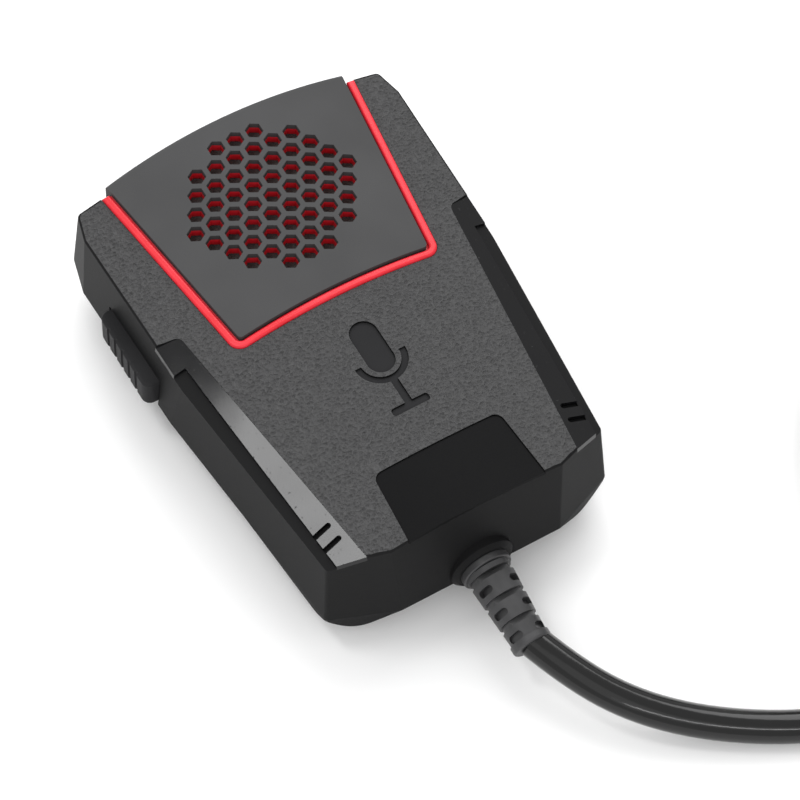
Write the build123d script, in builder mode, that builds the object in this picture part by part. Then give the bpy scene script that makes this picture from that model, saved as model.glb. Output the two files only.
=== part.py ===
"""Hand-held push-to-talk microphone with a fitted lead, for a vehicle's address set.

The microphone lies on its back. X runs across it, Y along it towards the grille
end, Z out of the crowned face. The origin is the middle of the flat back.
All sizes are in millimetres.
"""

from build123d import *
import math
import os

os.makedirs("parts", exist_ok=True)

# ---------------------------------------------------------------- case
FACE_TOP = 29.0  # height of the crowned face on the centre line
FACE_RADIUS = 145.0  # the face is part of a cylinder lying along Y
FACE_AXIS = FACE_TOP - FACE_RADIUS
FACE_WALL = 3.2
SIDE_WALL = 2.2
SHOULDER = 25.4  # height at which the wall corners below are given
PARTING = 9.0  # the two shells meet at this height

# Corners of the case at shoulder height, right half, from the grille end.
WALL_CORNERS = [(26.0, 44.7), (32.0, 44.2), (33.4, 38.8), (32.6, 3.0), (28.4, -41.3), (17.5, -45.5)]
# How far each wall stands further out at the parting than at the shoulder:
# grille end, its slanted ends, corner, upper side, lower side, tail slant, tail.
WALL_FLARES = [1.9, 1.6, 1.2, 1.5, 1.3, 2.2, 2.7]

BACK_HEAD_HALF, BACK_TAIL_HALF = 29.3, 25.9
BACK_HEAD_Y, BACK_TAIL_Y = 41.5, -43.2
BACK_CORNER = 5.0
BACK_SLOPE = 29.0  # degrees that the back's edges lean out
REAR_DRAFT = 6.0
REAR_FLOOR = 2.2

CASE_SCREWS = [(24.5, 35.0), (-24.5, 35.0), (20.5, -35.0), (-20.5, -35.0)]
POST_RADIUS = 3.2

# ---------------------------------------------------------------- grille
GRILLE_Y = 28.0
HOLE_PITCH = 4.0
HOLE_ACROSS_FLATS = 3.0
COVER_RISE = 0.8
COVER_THICK = 1.35
ACCENT_THICK = 1.7
LIP_DROP = 17.0  # the cover's lip comes down to this height
SOUND_OPENING = 18.0  # radius

# ---------------------------------------------------------------- button
BUTTON_LOW, BUTTON_HIGH = 9.5, 16.5
BUTTON_MID_Y, BUTTON_LENGTH = 19.5, 18.0
BUTTON_FACE_X = -36.5
SWITCH_Z = 14.9

# ---------------------------------------------------------------- electronics
BOARD_LOW, BOARD_THICK = 11.0, 1.6
BOARD_TOP = BOARD_LOW + BOARD_THICK
BOARD_POSTS = [(19.0, 2.0), (-19.0, 2.0), (17.0, -24.5), (-17.0, -24.5)]
CAPSULE_RADIUS = 4.85

# ---------------------------------------------------------------- lead
LEAD_DIAMETER = 6.2
LEAD_RADIUS = LEAD_DIAMETER / 2
GLAND_Z = 11.4
GLAND_FACE_Y = -49.0
BOOT_TILT = 7.0
BOOT_LENGTH = 16.2
CLAMP_POSTS = [(8.0, -38.0), (-8.0, -38.0)]
CLAMP_TOP, CLAMP_THICK = 8.2, 1.5

# The lead from the boot to its coil, chosen to lie as a soft rubber lead does.
LEAD_ROUTE = [
    (0.5, -65.4, 9.5),
    (3.3, -72.9, 8.6),
    (9.2, -82.5, 6.7),
    (18.2, -90.9, 4.6),
    (30.0, -98.5, 3.2),
    (42.0, -104.2, 3.1),
    (57.0, -105.9, 3.1),
    (79.5, -105.7, 3.1),
    (99.8, -105.7, 3.2),
]
COIL_OUTER = 34.1  # radius to the middle of the outermost turns
COIL_CENTRE = (99.8, -105.7 + COIL_OUTER)
COIL_INNER = COIL_OUTER - LEAD_DIAMETER  # two turns side by side
COIL_HIGH = 4 * LEAD_DIAMETER  # and four of them high
# The lead leaves the coil's top outer turn here, and runs down to the plug.
END_ANGLE = math.radians(4.0)
END_RUN = 43.0
PLUG_Z = 9.6


def write(piece, name):
    """Labels a finished piece and writes it as its own STEP file."""
    piece.part.label = name
    export_step(piece.part, f"parts/{name}.step")


# ------------------------------------------------------------------ helpers
def wall_lines():
    """Each wall as (corner, next corner, flare), all the way round the case."""
    right = WALL_CORNERS
    left = [(-x, y) for x, y in reversed(right)]
    corners = right + left
    flares = WALL_FLARES[1:] + WALL_FLARES[-2:0:-1] + [WALL_FLARES[0]]
    return [(corners[i], corners[(i + 1) % len(corners)], flares[i]) for i in range(len(corners))]


def wall_plane(start, end, flare, inset=0.0):
    """The plane of one flared wall, its normal pointing out of the case."""
    along = Vector(end[0] - start[0], end[1] - start[1], 0).normalized()
    outward = Vector(-along.Y, along.X, 0)
    slope = math.atan2(flare, SHOULDER - PARTING)
    normal = outward * math.cos(slope) + Vector(0, 0, 1) * math.sin(slope)
    origin = Vector(start[0], start[1], SHOULDER) - normal * inset
    return Plane(origin=origin, x_dir=along, z_dir=normal)


def draft_plane(start, end, flare, inset=0.0):
    """The plane of the same wall below the parting, where it leans back in."""
    along = Vector(end[0] - start[0], end[1] - start[1], 0).normalized()
    outward = Vector(-along.Y, along.X, 0)
    slope = math.radians(REAR_DRAFT)
    normal = outward * math.cos(slope) - Vector(0, 0, 1) * math.sin(slope)
    origin = Vector(start[0], start[1], PARTING) + outward * flare - normal * inset
    return Plane(origin=origin, x_dir=along, z_dir=normal)


def walled_block(plane_of, inset, low, high):
    """A block between two heights, trimmed by every wall plane."""
    with BuildPart() as block:
        with Locations((0, 0, (low + high) / 2)):
            Box(120, 130, high - low)
        for start, end, flare in wall_lines():
            split(bisect_by=plane_of(start, end, flare, inset), keep=Keep.BOTTOM)
    return block.part


def crown(radius):
    """Everything under a crowned surface of this radius about the face's axis."""
    with BuildPart() as block:
        with BuildSketch(Plane.XZ.offset(-70)):
            with Locations((0, FACE_AXIS)):
                Circle(radius)
        extrude(amount=140)
    return block.part


def between_crowns(outline, low_radius, high_radius):
    """The part of an upright prism that lies between two crowned surfaces."""
    with BuildPart() as layer:
        with BuildSketch(Plane.XY):
            add(outline)
        extrude(amount=40)
        add(crown(high_radius), mode=Mode.INTERSECT)
        add(crown(low_radius), mode=Mode.SUBTRACT)
    return layer.part


def outline_of(points):
    """A closed sketch through plan points."""
    with BuildSketch(Plane.XY) as shape:
        with BuildLine():
            Polyline(*points, close=True)
        make_face()
    return shape.sketch


def corner_radii(points):
    """The largest arc that each corner of a lead's route has room for."""
    route = [Vector(*p) for p in points]
    radii = []
    for before, here, after in zip(route, route[1:], route[2:]):
        turn = math.radians((here - before).get_angle(after - here))
        shorter = min((here - before).length, (after - here).length)
        radii.append(0.45 * shorter / math.tan(turn / 2))
    return radii


def grille_holes():
    """Centres of the hexagonal holes: nine rows that shorten away from the middle one."""
    centres = []
    for row in range(-4, 5):
        count = 9 - abs(row) if abs(row) < 4 else 3
        y = GRILLE_Y + row * HOLE_PITCH * math.sqrt(3) / 2
        for hole in range(count):
            centres.append(((hole - (count - 1) / 2) * HOLE_PITCH, y))
    return centres


# ------------------------------------------------------------ grille outlines
# The red bead runs down both sides of the cover and across its lower edge.
BEAD_HEAD_HALF, BEAD_TAIL_HALF = 26.0, 20.7
BEAD_HEAD_Y, BEAD_TAIL_Y = 44.2, 4.0
BEAD_HALF_WIDTH = 0.78
BEAD_BOW = 0.7


def grille_outline(inset, head_y, head_bow, corner):
    """The tapered grille field, stepped in from the middle of the bead."""
    taper = (BEAD_HEAD_HALF - BEAD_TAIL_HALF) / (BEAD_HEAD_Y - BEAD_TAIL_Y)
    head_half = BEAD_TAIL_HALF + taper * (head_y - BEAD_TAIL_Y) - inset
    tail_y = BEAD_TAIL_Y + inset
    tail_half = BEAD_TAIL_HALF + taper * (tail_y - BEAD_TAIL_Y) - inset
    with BuildSketch(Plane.XY) as field:
        with BuildLine():
            ThreePointArc((head_half, head_y), (0, head_y + head_bow), (-head_half, head_y))
            Line((-head_half, head_y), (-tail_half, tail_y))
            ThreePointArc((-tail_half, tail_y), (0, tail_y + BEAD_BOW), (tail_half, tail_y))
            Line((tail_half, tail_y), (head_half, head_y))
        make_face()
        fillet(field.vertices().group_by(Axis.Y)[0], corner)
    return field.sketch


bead_outer = grille_outline(-BEAD_HALF_WIDTH, BEAD_HEAD_Y, 0.02, 2.6)
bead_inner = grille_outline(BEAD_HALF_WIDTH, BEAD_HEAD_Y + 3, 0.02, 1.1)
pocket_outline = grille_outline(-BEAD_HALF_WIDTH - 0.08, BEAD_HEAD_Y + 4, 0.02, 2.7)
cover_outline = grille_outline(BEAD_HALF_WIDTH + 0.4, 46.0, 1.7, 0.8)
lip_inner = grille_outline(BEAD_HALF_WIDTH - 0.6, 44.4, 1.7, 0.8)
lip_pocket = grille_outline(BEAD_HALF_WIDTH + 0.2, 60.0, 0.5, 0.8)
lip_pocket_inner = grille_outline(BEAD_HALF_WIDTH - 0.6, 44.25, 1.7, 0.8)

COVER_TOP_RADIUS = FACE_RADIUS + COVER_RISE
COVER_LOW_RADIUS = COVER_TOP_RADIUS - COVER_THICK
ACCENT_LOW_RADIUS = COVER_LOW_RADIUS - ACCENT_THICK
INNER_RADIUS = FACE_RADIUS - FACE_WALL

# ------------------------------------------------------------ side trim places
# Each gloss trim lies in a plane that leans down towards the case's side.
TRIM_TOP, TRIM_TAIL = (28.4, 11.9), (21.4, -46.0)
TRIM_EDGE_TOP, TRIM_EDGE_TAIL = (30.4, 6.2), (26.5, -46.0)
TRIM_LEAN = 18.0
TRIM_THICK = 1.1
TRIM_CORNER = 1.6
STRIP_STEP = 0.7
TRIM_OUTLINE = [TRIM_TOP, (36.0, 13.6), (36.0, 6.2), TRIM_EDGE_TOP, TRIM_EDGE_TAIL, TRIM_TAIL]
STRIP_OUTLINE = [TRIM_EDGE_TOP, (37.0, 6.2), (37.0, -50.0), (TRIM_EDGE_TAIL[0] - 0.3, -50.0)]
SLOT_WIDTH = 1.1
SLOTS = [(26.0, -34.85), (25.65, -37.95)]
SLOT_LENGTH = 4.4
SLOT_TURN = 9.5


def face_height(x):
    """Height of the case's face at a distance across it."""
    return FACE_AXIS + math.sqrt(FACE_RADIUS**2 - x**2)


def trim_plane(side, drop):
    """The leaning plane of a side trim, lowered by drop; side is 1 or -1."""
    tail_z = face_height(TRIM_TAIL[0]) - 0.1
    top = Vector(side * TRIM_TOP[0], TRIM_TOP[1], face_height(TRIM_TOP[0]) - 0.1)
    tail = Vector(side * TRIM_TAIL[0], TRIM_TAIL[1], tail_z)
    along = (top - tail).normalized()
    across = Vector(side, 0, -math.tan(math.radians(TRIM_LEAN)))
    normal = across.cross(along).normalized()
    if normal.Z < 0:
        normal = normal * -1
    return Plane(origin=tail - normal * drop, x_dir=along, z_dir=normal)


def sided(points, side):
    """Plan points put on the right, or mirrored to the left."""
    return [(side * x, y) for x, y in points]


def above_trim_plane(points, side, drop, corner=0.0):
    """An upright prism over plan points, kept above a trim plane; its first corner may be rounded."""
    with BuildPart() as prism:
        with BuildSketch(Plane.XY.offset(15)) as plan:
            add(outline_of(sided(points, side)))
            if corner:
                start = Vector(side * points[0][0], points[0][1], 15)
                fillet(plan.vertices().sort_by_distance(start)[0], corner)
        extrude(amount=20)
        split(bisect_by=trim_plane(side, drop), keep=Keep.TOP)
    return prism.part


# ------------------------------------------------------------------ front shell
GLAND_BOSS, GLAND_BEVEL = 6.4, 0.8
GLAND_NECK = 4.4
LABEL_OUTLINE = [(13.0, -30.7), (14.6, -52.0), (-14.6, -52.0), (-13.0, -30.7)]
LABEL_SINK = 0.95
BADGE_FLOOR = FACE_TOP - 0.8


def label_outline(gap):
    """The tail label's recess, with two rounded corners."""
    with BuildSketch(Plane.XY) as label:
        add(outline_of(LABEL_OUTLINE))
        fillet(label.vertices().group_by(Axis.Y)[-1], 1.8)
        if gap:
            offset(amount=-gap)
    return label.sketch


def badge_outline(gap):
    """A plain pictogram of a microphone on a stand."""
    with BuildSketch(Plane.XY) as badge:
        with Locations((0, -8.3)):
            SlotOverall(11.4 - 2 * gap, 5.4 - 2 * gap, rotation=90)
        with BuildSketch(Plane.XY, mode=Mode.PRIVATE) as cradle:
            with Locations((0, -11.0)):
                Circle(5.2 - gap)
                Circle(3.9 + gap, mode=Mode.SUBTRACT)
            with Locations((0, -7.4)):
                Rectangle(12, 7.2, mode=Mode.SUBTRACT)
        add(cradle.sketch)
        with Locations((0, -18.6)):
            Rectangle(1.5 - 2 * gap, 6.0)
        with Locations((0, -21.9)):
            RectangleRounded(7.6 - 2 * gap, 1.6 - 2 * gap, 0.6 - gap)
    return badge.sketch


with BuildPart() as front_shell:
    add(walled_block(wall_plane, 0.0, PARTING, 34.0))
    corner_edges = front_shell.edges().filter_by(lambda e: abs(e.tangent_at(0).Z) > 0.7)
    fillet(corner_edges, 1.1)
    add(crown(FACE_RADIUS), mode=Mode.INTERSECT)
    fillet(front_shell.faces().sort_by(Axis.Z)[-1].edges(), 0.5)
    # hollow
    with BuildPart(mode=Mode.PRIVATE) as cavity:
        add(walled_block(wall_plane, SIDE_WALL, PARTING - 1, 34.0))
        add(crown(INNER_RADIUS), mode=Mode.INTERSECT)
    add(cavity.part, mode=Mode.SUBTRACT)
    # pocket for the accent plate, sound opening, and room for the cover's lip
    with BuildPart(mode=Mode.PRIVATE) as pocket:
        with BuildSketch(Plane.XY):
            add(pocket_outline)
        extrude(amount=40)
        add(crown(ACCENT_LOW_RADIUS - 0.02), mode=Mode.SUBTRACT)
    add(pocket.part, mode=Mode.SUBTRACT)
    with Locations((0, GRILLE_Y, FACE_TOP)):
        Cylinder(SOUND_OPENING, 12, mode=Mode.SUBTRACT)
    with BuildPart(mode=Mode.PRIVATE) as lip_room:
        with BuildSketch(Plane.XY.offset(LIP_DROP - 0.15)):
            add(lip_pocket)
            add(lip_pocket_inner, mode=Mode.SUBTRACT)
            with Locations((0, 0)):
                Rectangle(80, 86, mode=Mode.SUBTRACT)
        extrude(amount=20)
    add(lip_room.part, mode=Mode.SUBTRACT)
    # posts for the case screws, the board and the lead clamp
    with BuildPart(mode=Mode.PRIVATE) as posts:
        with BuildSketch(Plane.XY.offset(PARTING)):
            with Locations(*CASE_SCREWS):
                Circle(POST_RADIUS)
        extrude(amount=18)
        with BuildSketch(Plane.XY.offset(BOARD_TOP)):
            with Locations(*BOARD_POSTS):
                Circle(2.4)
        extrude(amount=14)
        with BuildSketch(Plane.XY.offset(CLAMP_TOP + 0.05)):
            with Locations(*CLAMP_POSTS):
                Circle(2.3)
        extrude(amount=19)
        add(crown(INNER_RADIUS + 0.3), mode=Mode.INTERSECT)
    add(posts.part)
    with BuildSketch(Plane.XY.offset(PARTING)):
        with Locations(*CASE_SCREWS):
            Circle(1.1)
    extrude(amount=12, mode=Mode.SUBTRACT)
    with BuildSketch(Plane.XY.offset(BOARD_TOP)):
        with Locations(*BOARD_POSTS):
            Circle(0.85)
    extrude(amount=7, mode=Mode.SUBTRACT)
    with BuildSketch(Plane.XY.offset(CLAMP_TOP + 0.05)):
        with Locations(*CLAMP_POSTS):
            Circle(0.85)
    extrude(amount=8, mode=Mode.SUBTRACT)
    # opening for the button
    with Locations((-33.0, BUTTON_MID_Y, (PARTING + BUTTON_HIGH + 0.3) / 2)):
        Box(8.0, BUTTON_LENGTH + 0.6, BUTTON_HIGH + 0.3 - PARTING, mode=Mode.SUBTRACT)
    # leaning pockets for the side trims and the step outside them
    for side in (1, -1):
        add(above_trim_plane(TRIM_OUTLINE, side, TRIM_THICK + 0.02, TRIM_CORNER), mode=Mode.SUBTRACT)
        add(above_trim_plane(STRIP_OUTLINE, side, STRIP_STEP), mode=Mode.SUBTRACT)
    # label recess and badge recess
    with BuildPart(mode=Mode.PRIVATE) as label_room:
        with BuildSketch(Plane.XY):
            add(label_outline(0))
        extrude(amount=40)
        add(crown(FACE_RADIUS - LABEL_SINK), mode=Mode.SUBTRACT)
    add(label_room.part, mode=Mode.SUBTRACT)
    with BuildSketch(Plane.XY.offset(BADGE_FLOOR)):
        add(badge_outline(0))
    extrude(amount=4, mode=Mode.SUBTRACT)
    # gland boss, upper half
    with BuildPart(mode=Mode.PRIVATE) as boss:
        with BuildSketch(Plane.XZ.offset(45.6)):
            with Locations((0, GLAND_Z)):
                Circle(GLAND_BOSS)
        extrude(amount=-GLAND_FACE_Y - 45.6)
        chamfer(boss.faces().sort_by(Axis.Y)[0].edges(), GLAND_BEVEL)
        with Locations((0, -47, PARTING - 5)):
            Box(20, 10, 10, mode=Mode.SUBTRACT)
    add(boss.part)
    with BuildSketch(Plane.XZ.offset(40)):
        with Locations((0, GLAND_Z)):
            Circle(GLAND_NECK + 0.05)
    extrude(amount=12, mode=Mode.SUBTRACT)
write(front_shell, "front_shell")

# ------------------------------------------------------------------ rear shell
HANGER_ROOM, HANGER_DEPTH = 11.5, 5.6
HANGER_Y = 16.0


def back_wedge(step, low):
    """The back's rounded outline, leaning out on the way up to the parting."""
    corners = [(BACK_HEAD_HALF - step, BACK_HEAD_Y - step), (BACK_TAIL_HALF - step, BACK_TAIL_Y + step),
               (-BACK_TAIL_HALF + step, BACK_TAIL_Y + step), (-BACK_HEAD_HALF + step, BACK_HEAD_Y - step)]
    with BuildPart() as wedge:
        with BuildSketch(Plane.XY.offset(low)) as floor:
            add(outline_of(corners))
            fillet(floor.vertices(), BACK_CORNER - step / 2)
        extrude(amount=PARTING - low + 0.6, taper=-BACK_SLOPE)
    return wedge.part


with BuildPart() as rear_shell:
    add(walled_block(draft_plane, 0.0, -2.0, PARTING))
    corner_edges = rear_shell.edges().filter_by(lambda e: abs(e.tangent_at(0).Z) > 0.7)
    fillet(corner_edges, 1.1)
    add(back_wedge(0.0, 0.0), mode=Mode.INTERSECT)
    fillet(rear_shell.faces().sort_by(Axis.Z)[0].edges(), 1.0)
    with BuildPart(mode=Mode.PRIVATE) as cavity:
        add(walled_block(draft_plane, SIDE_WALL, REAR_FLOOR, PARTING + 0.5))
        add(back_wedge(1.4, REAR_FLOOR), mode=Mode.INTERSECT)
    add(cavity.part, mode=Mode.SUBTRACT)
    # screw bosses and the cup that the hanger stands in
    with BuildSketch(Plane.XY.offset(1.0)):
        with Locations(*CASE_SCREWS):
            Circle(POST_RADIUS)
    extrude(amount=PARTING - 1.0)
    with BuildSketch(Plane.XY.offset(1.0)):
        with Locations((0, HANGER_Y)):
            Circle(HANGER_ROOM + 1.8)
    extrude(amount=HANGER_DEPTH + 1.0)
    with BuildSketch(Plane.XY):
        with Locations((0, HANGER_Y)):
            Circle(HANGER_ROOM)
    extrude(amount=HANGER_DEPTH, mode=Mode.SUBTRACT)
    with BuildSketch(Plane.XY):
        with Locations((0, HANGER_Y)):
            Circle(1.55)
    extrude(amount=9, mode=Mode.SUBTRACT)
    with Locations(*[(x, y, 0) for x, y in CASE_SCREWS]):
        Cylinder(1.45, 20, mode=Mode.SUBTRACT)
    with Locations(*[(x, y, 0) for x, y in CASE_SCREWS]):
        Cylinder(2.7, 2 * 3.2, mode=Mode.SUBTRACT)
    # three shallow grip grooves across the back
    for groove_y in (-24.0, -28.0, -32.0):
        with Locations((0, groove_y, 0)):
            Box(26, 1.4, 1.2, mode=Mode.SUBTRACT)
    # gland boss, lower part
    with BuildPart(mode=Mode.PRIVATE) as boss:
        with BuildSketch(Plane.XZ.offset(44.6)):
            with Locations((0, GLAND_Z)):
                Circle(GLAND_BOSS)
        extrude(amount=-GLAND_FACE_Y - 44.6)
        chamfer(boss.faces().sort_by(Axis.Y)[0].edges(), GLAND_BEVEL)
        with Locations((0, -47, PARTING + 10)):
            Box(20, 10, 20, mode=Mode.SUBTRACT)
    add(boss.part)
    with BuildSketch(Plane.XZ.offset(40)):
        with Locations((0, GLAND_Z)):
            Circle(GLAND_NECK + 0.05)
    extrude(amount=12, mode=Mode.SUBTRACT)
write(rear_shell, "rear_shell")

# ------------------------------------------------------------------ grille set
with BuildPart() as accent_plate:
    add(between_crowns(bead_outer, ACCENT_LOW_RADIUS, COVER_LOW_RADIUS - 0.02))
    with BuildPart(mode=Mode.PRIVATE) as bead:
        with BuildSketch(Plane.XY):
            add(bead_outer)
            add(bead_inner, mode=Mode.SUBTRACT)
        extrude(amount=40)
        add(crown(FACE_RADIUS + 0.45), mode=Mode.INTERSECT)
        add(crown(COVER_LOW_RADIUS - 0.5), mode=Mode.SUBTRACT)
        top = bead.faces().sort_by(lambda f: f.center().Z)[-1]
        fillet(top.edges(), 0.5)
    add(bead.part)
    with BuildSketch(Plane.XY.offset(FACE_TOP + 4)):
        with Locations(*grille_holes()):
            RegularPolygon(HOLE_ACROSS_FLATS / 2, 6, major_radius=False, rotation=30)
    extrude(amount=-14, mode=Mode.SUBTRACT)
write(accent_plate, "accent_plate")

with BuildPart() as grille_cover:
    add(between_crowns(cover_outline, COVER_LOW_RADIUS, COVER_TOP_RADIUS))
    # the lip that turns down over the grille end
    with BuildPart(mode=Mode.PRIVATE) as lip:
        with BuildSketch(Plane.XY.offset(LIP_DROP)):
            add(cover_outline)
            add(lip_inner, mode=Mode.SUBTRACT)
            with Locations((0, 0)):
                Rectangle(80, 87, mode=Mode.SUBTRACT)
        extrude(amount=18)
        add(crown(COVER_TOP_RADIUS), mode=Mode.INTERSECT)
    add(lip.part)
    top = grille_cover.faces().filter_by(lambda f: f.center().Z > 28 and f.area > 500).sort_by(Axis.Z)[-1]
    head_edge = top.edges().sort_by(lambda e: e.center().Y)[-1]
    fillet(head_edge, 1.1)
    with BuildSketch(Plane.XY.offset(FACE_TOP + 4)):
        with Locations(*grille_holes()):
            RegularPolygon(HOLE_ACROSS_FLATS / 2, 6, major_radius=False, rotation=30)
    extrude(amount=-8, mode=Mode.SUBTRACT)
write(grille_cover, "grille_cover")

with BuildPart() as dust_felt:
    with BuildSketch(Plane.XY) as felt_disc:
        with Locations((0, GRILLE_Y)):
            Circle(SOUND_OPENING - 0.15)
    add(between_crowns(felt_disc.sketch, INNER_RADIUS - 0.1, ACCENT_LOW_RADIUS - 0.02), mode=Mode.REPLACE)
write(dust_felt, "dust_felt")

# ------------------------------------------------------------------ trims
for side, trim_name in ((-1, "left_side_trim"), (1, "right_side_trim")):
    with BuildPart() as side_trim:
        add(walled_block(wall_plane, 0.02, 15.0, 34.0))
        add(above_trim_plane(TRIM_OUTLINE, side, TRIM_THICK, TRIM_CORNER), mode=Mode.INTERSECT)
        split(bisect_by=trim_plane(side, 0.0), keep=Keep.BOTTOM)
        with BuildSketch(Plane.XY.offset(15)):
            with Locations(*[Location((side * x, y, 0), (0, 0, -side * SLOT_TURN)) for x, y in SLOTS]):
                SlotOverall(SLOT_LENGTH, SLOT_WIDTH)
        extrude(amount=20, mode=Mode.SUBTRACT)
    write(side_trim, trim_name)

with BuildPart() as label_panel:
    add(walled_block(wall_plane, 0.02, 15.0, 34.0))
    label_slab = between_crowns(label_outline(0.1), FACE_RADIUS - LABEL_SINK, FACE_RADIUS - 0.3)
    add(label_slab, mode=Mode.INTERSECT)
write(label_panel, "label_panel")

with BuildPart() as badge_inlay:
    with BuildSketch(Plane.XY.offset(BADGE_FLOOR)):
        add(badge_outline(0.06))
    extrude(amount=0.3)
write(badge_inlay, "badge_inlay")

# ------------------------------------------------------------------ button
BUTTON_MID_Z = (BUTTON_LOW + BUTTON_HIGH) / 2
FLANGE_OUT, FLANGE_IN = -30.9, -29.9
with BuildPart() as ptt_button:
    with Locations(((BUTTON_FACE_X + FLANGE_OUT) / 2, BUTTON_MID_Y, BUTTON_MID_Z)):
        Box(FLANGE_OUT - BUTTON_FACE_X, BUTTON_LENGTH, BUTTON_HIGH - BUTTON_LOW)
    outer = ptt_button.faces().sort_by(Axis.X)[0]
    fillet(outer.edges().filter_by(Axis.Z), 1.7)
    fillet(ptt_button.faces().sort_by(Axis.Z)[-1].edges().group_by(Axis.X)[0], 0.6)
    fillet(ptt_button.faces().sort_by(Axis.Z)[0].edges().group_by(Axis.X)[0], 0.6)
    with Locations(*[(BUTTON_FACE_X, BUTTON_MID_Y + step * 2.6, BUTTON_MID_Z) for step in range(-2, 3)]):
        Cylinder(0.45, 12, mode=Mode.SUBTRACT)
    with Locations(((FLANGE_OUT + FLANGE_IN) / 2, BUTTON_MID_Y, (BUTTON_LOW + 17.6) / 2)):
        Box(FLANGE_IN - FLANGE_OUT, BUTTON_LENGTH + 2.4, 17.6 - BUTTON_LOW)
    with BuildSketch(Plane.YZ.offset(FLANGE_IN)):
        with Locations((BUTTON_MID_Y, SWITCH_Z)):
            Circle(1.9)
    extrude(amount=2.5)
write(ptt_button, "ptt_button")

PLUNGER_RADIUS = 1.2
SWITCH_FACE = -25.2
with BuildPart() as switch_plunger:
    with BuildSketch(Plane.YZ.offset(FLANGE_IN + 2.5 + 0.1)):
        with Locations((BUTTON_MID_Y, SWITCH_Z)):
            Circle(PLUNGER_RADIUS)
    extrude(amount=5.1)
    chamfer(switch_plunger.faces().sort_by(Axis.X)[0].edges(), 0.2)
write(switch_plunger, "switch_plunger")

with BuildPart() as switch_body:
    with Locations((SWITCH_FACE + 3.5, BUTTON_MID_Y, BOARD_TOP + 2.3)):
        Box(7.0, 6.4, 4.6)
    with BuildSketch(Plane.YZ.offset(SWITCH_FACE)):
        with Locations((BUTTON_MID_Y, SWITCH_Z)):
            Circle(PLUNGER_RADIUS + 0.06)
    extrude(amount=5.2, mode=Mode.SUBTRACT)
write(switch_body, "switch_body")

# ------------------------------------------------------------------ electronics
BOARD_HALF = [(25.0, -29.0), (25.0, 24.0), (18.0, 30.0), (18.0, 37.0)]
with BuildPart() as circuit_board:
    with BuildSketch(Plane.XY.offset(BOARD_LOW)):
        add(outline_of(BOARD_HALF + sided(reversed(BOARD_HALF), -1)))
    extrude(amount=BOARD_THICK)
    with Locations(*[(x, y, BOARD_LOW) for x, y in BOARD_POSTS]):
        Cylinder(1.1, 8, mode=Mode.SUBTRACT)
write(circuit_board, "circuit_board")

with BuildPart() as board_parts:
    # preamplifier, two capacitors and four small chips on the board's face
    with Locations((3.0, 4.0, BOARD_TOP + 0.8)):
        Box(8.0, 6.0, 1.6)
    with Locations((12.0, 10.0, BOARD_TOP + 2.6), (12.0, -8.0, BOARD_TOP + 2.6)):
        Cylinder(2.5, 5.2)
    for chip in range(4):
        with Locations((-10.0 + chip * 5.0, -6.0, BOARD_TOP + 0.4)):
            Box(2.0, 1.2, 0.8)
write(board_parts, "board_parts")

with BuildPart() as capsule_holder:
    with BuildSketch(Plane.XY.offset(BOARD_TOP)):
        with Locations((0, GRILLE_Y)):
            Circle(7.4)
    extrude(amount=12.4)
    with BuildSketch(Plane.XY.offset(BOARD_TOP + 5.4)):
        with Locations((0, GRILLE_Y)):
            Circle(CAPSULE_RADIUS + 0.04)
    extrude(amount=10, mode=Mode.SUBTRACT)
write(capsule_holder, "capsule_holder")

with BuildPart() as mic_capsule:
    with BuildSketch(Plane.XY.offset(BOARD_TOP + 5.4)):
        with Locations((0, GRILLE_Y)):
            Circle(CAPSULE_RADIUS)
    extrude(amount=6.6)
    chamfer(mic_capsule.faces().sort_by(Axis.Z)[-1].edges(), 0.3)
    with Locations((0, GRILLE_Y, BOARD_TOP + 12.0)):
        Cylinder(3.2, 0.8, mode=Mode.SUBTRACT)
write(mic_capsule, "mic_capsule")

with BuildPart() as lead_header:
    with Locations((0, -26.0, BOARD_TOP + 2.1)):
        Box(13.0, 5.0, 4.2)
write(lead_header, "lead_header")

with BuildPart() as board_screws:
    with Locations(*[(x, y, BOARD_LOW - 0.75) for x, y in BOARD_POSTS]):
        Cylinder(1.9, 1.5)
        Cylinder(0.8, 9.0, align=(Align.CENTER, Align.CENTER, Align.MIN))
write(board_screws, "board_screws")

with BuildPart() as case_screws:
    with Locations(*[(x, y, 2.2) for x, y in CASE_SCREWS]):
        Cylinder(2.45, 2.0)
        Cylinder(1.05, 15.5, align=(Align.CENTER, Align.CENTER, Align.MIN))
    with Locations(*[(x, y, 1.2) for x, y in CASE_SCREWS]):
        Box(3.0, 0.6, 1.4, mode=Mode.SUBTRACT)
        Box(0.6, 3.0, 1.4, mode=Mode.SUBTRACT)
write(case_screws, "case_screws")

# ------------------------------------------------------------------ hanger
HANGER_HEAD, HANGER_NECK = 6.5, 4.5
with BuildPart() as hanger_stud:
    with Locations((0, HANGER_Y, 0)):
        Cylinder(HANGER_HEAD, 1.6, align=(Align.CENTER, Align.CENTER, Align.MIN))
        Cylinder(HANGER_NECK, HANGER_DEPTH, align=(Align.CENTER, Align.CENTER, Align.MIN))
        Cylinder(1.55, 2 * HANGER_DEPTH, mode=Mode.SUBTRACT)
        Cylinder(2.9, 2 * 1.9, mode=Mode.SUBTRACT)
    with Locations((0, HANGER_Y, -0.7)):
        Cylinder(20, 2, mode=Mode.SUBTRACT)
write(hanger_stud, "hanger_stud")

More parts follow.
